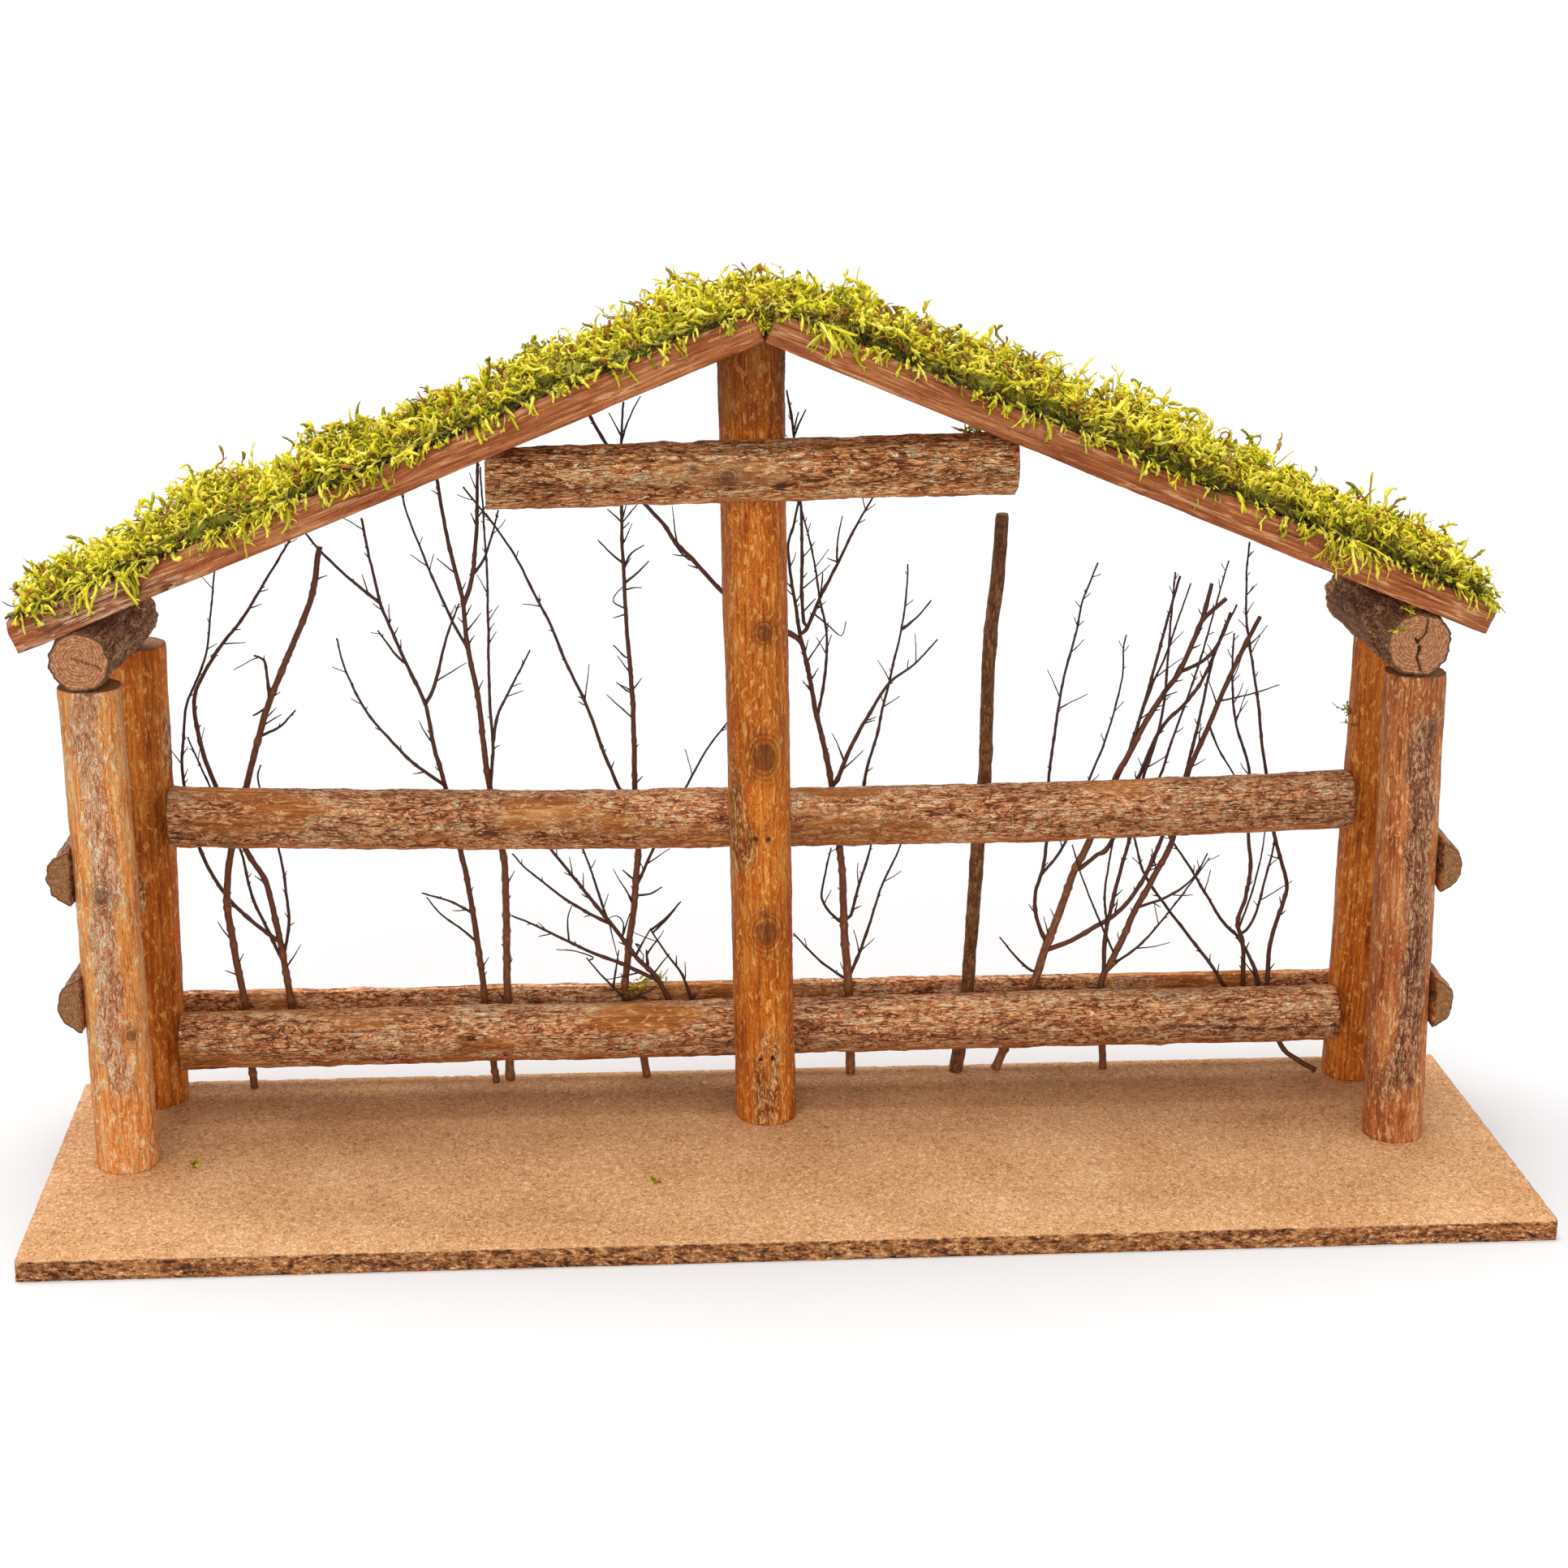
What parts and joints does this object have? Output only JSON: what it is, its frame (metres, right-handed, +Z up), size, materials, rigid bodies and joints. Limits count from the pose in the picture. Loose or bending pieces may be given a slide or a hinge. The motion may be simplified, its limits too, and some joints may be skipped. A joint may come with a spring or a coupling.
{
  "type": "wooden nativity stable",
  "caption": "Rustic log-built nativity stable on a fibre board, with a moss-covered pitched roof, back rails and upright twigs.",
  "frame": {"origin": "bottom centre of the whole object's box, on the underside of the base board", "axes": "+X to the viewer's right along the board's long side, +Y to the back, +Z up"},
  "size_m": [0.6039, 0.17, 0.3648],
  "materials": {
    "fibre_board": "matte",
    "stripped_pine": "matte",
    "bark_log": "matte",
    "roof_slat": "matte",
    "rough_slab": "matte",
    "moss": "matte",
    "twig": "matte",
    "steel": "satin"
  },
  "bodies": {
    "root": {"base_board": "fibre_board", "post_front_left": "stripped_pine", "post_front_right": "stripped_pine", "post_rear_left": "stripped_pine", "post_rear_right": "stripped_pine", "post_centre": "stripped_pine", "purlin_left": "bark_log", "purlin_right": "bark_log", "roof_slat_left_1": "roof_slat", "roof_slat_left_2": "roof_slat", "roof_slat_left_3": "roof_slat", "roof_slat_right_1": "roof_slat", "roof_slat_right_2": "roof_slat", "roof_slat_right_3": "roof_slat", "moss_left": "moss", "moss_right": "moss", "tie_log": "bark_log", "mid_rail": "bark_log", "lower_rail": "bark_log", "rear_slab": "rough_slab", "side_rail_left_upper": "bark_log", "side_rail_left_lower": "bark_log", "side_rail_right_upper": "bark_log", "side_rail_right_lower": "bark_log", "twig_1": "twig", "twig_2": "twig", "twig_3": "twig", "twig_4": "twig", "twig_5": "twig", "twig_6": "twig", "twig_7": "twig", "twig_8": "twig", "twig_9": "twig", "twig_10": "twig", "twig_11": "twig", "twig_12": "twig", "twig_13": "twig", "twig_stick": "twig", "board_screws": "steel", "purlin_nails": "steel", "roof_nails": "steel", "side_rail_nails": "steel", "slab_nails": "steel", "rail_pins": "steel", "tie_pins": "steel", "rail_end_nails": "steel"}
  },
  "joints": []
}
